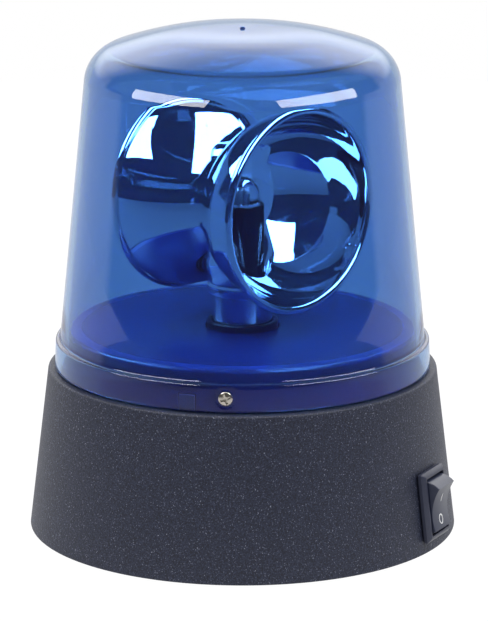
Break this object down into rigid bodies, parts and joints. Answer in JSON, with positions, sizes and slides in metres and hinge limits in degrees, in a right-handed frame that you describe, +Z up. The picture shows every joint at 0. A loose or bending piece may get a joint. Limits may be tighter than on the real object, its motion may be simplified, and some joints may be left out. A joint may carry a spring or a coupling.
{
  "type": "beacon lamp",
  "caption": "Free-standing rotating beacon: clear blue dome, turning back-to-back horn reflector round a fixed lamp, tapered black base with rocker switch and battery bay",
  "frame": {"origin": "on the lamp's upright axis, in the plane of the feet's lower faces", "axes": "+Z up along the lamp's axis, +X along the front reflector bowl at rest; the switch faces 18 degrees from +X toward +Y"},
  "size_m": [0.1295, 0.1278, 0.1527],
  "materials": {
    "base_moulding": "spark-eroded black moulding",
    "cover_moulding": "satin black moulding",
    "clear_dome": "clear blue, polished",
    "metallised_plastic": "vacuum metallised, polished",
    "black_gear": "satin",
    "black_gloss": "gloss",
    "switch_black": "satin",
    "clear_lamp": "clear, polished",
    "white_gear": "satin",
    "brass": "satin",
    "plated_steel": "bright plated",
    "rubber": "matte",
    "cell_sleeve": "gloss"
  },
  "bodies": {
    "base": {"base_housing": "base_moulding", "bottom_cover": "cover_moulding", "dome": "clear_dome", "dome_screw_1": "plated_steel", "dome_screw_2": "plated_steel", "dome_screw_3": "plated_steel", "cover_screw_1": "plated_steel", "cover_screw_2": "plated_steel", "cover_screw_3": "plated_steel", "cover_screw_4": "plated_steel", "rubber_foot_1": "rubber", "rubber_foot_2": "rubber", "rubber_foot_3": "rubber", "rubber_foot_4": "rubber", "battery_cell_1": "cell_sleeve", "battery_cell_2": "cell_sleeve", "battery_cell_3": "cell_sleeve", "contact_positive": "plated_steel", "contact_bridge_front": "plated_steel", "contact_bridge_rear": "plated_steel", "contact_negative": "plated_steel", "switch_housing": "switch_black", "switch_terminal_upper": "brass", "switch_terminal_lower": "brass", "lamp_post": "black_gloss", "led": "clear_lamp", "led_leg_anode": "plated_steel", "led_leg_cathode": "plated_steel", "thrust_washer": "plated_steel", "chassis_plate": "cover_moulding", "idler_pin": "plated_steel", "motor_can": "plated_steel", "motor_cap": "white_gear", "motor_screw_1": "plated_steel", "motor_screw_2": "plated_steel", "chassis_screw_1": "plated_steel", "chassis_screw_2": "plated_steel", "chassis_screw_3": "plated_steel"},
    "rotor": {"reflector": "metallised_plastic", "rotor_gear": "black_gear"},
    "idler": {"idler_gear": "white_gear"},
    "motor_rotor": {"motor_shaft": "plated_steel", "motor_pinion": "brass"},
    "rocker": {"switch_rocker": "black_gloss"},
    "door": {"battery_door": "cover_moulding"}
  },
  "joints": [
    {"name": "rotor_spin", "type": "hinge", "parent": "base", "child": "rotor", "pos_m": [0, 0, 0.057], "axis": [0, 0, 1], "continuous": true},
    {"name": "idler_spin", "type": "hinge", "parent": "base", "child": "idler", "pos_m": [-0.01965, 0.00563, 0.0535], "axis": [0, 0, 1], "continuous": true},
    {"name": "motor_spin", "type": "hinge", "parent": "base", "child": "motor_rotor", "pos_m": [-0.02086, -0.00825, 0.0535], "axis": [0, 0, 1], "continuous": true},
    {"name": "rocker_tilt", "type": "hinge", "parent": "base", "child": "rocker", "pos_m": [0.05887, 0.01913, 0.01466], "axis": [0.309, -0.9511, 0], "range_deg": [0, 22]},
    {"name": "battery_door_hinge", "type": "hinge", "parent": "base", "child": "door", "pos_m": [-0.02487, -0.00808, 0.0021], "axis": [-0.309, 0.9511, 0], "range_deg": [0, 70]}
  ],
  "couplings": [
    {"joint": "idler_spin", "follows": "rotor_spin", "ratio": -4.8},
    {"joint": "motor_spin", "follows": "rotor_spin", "ratio": 17.28}
  ]
}
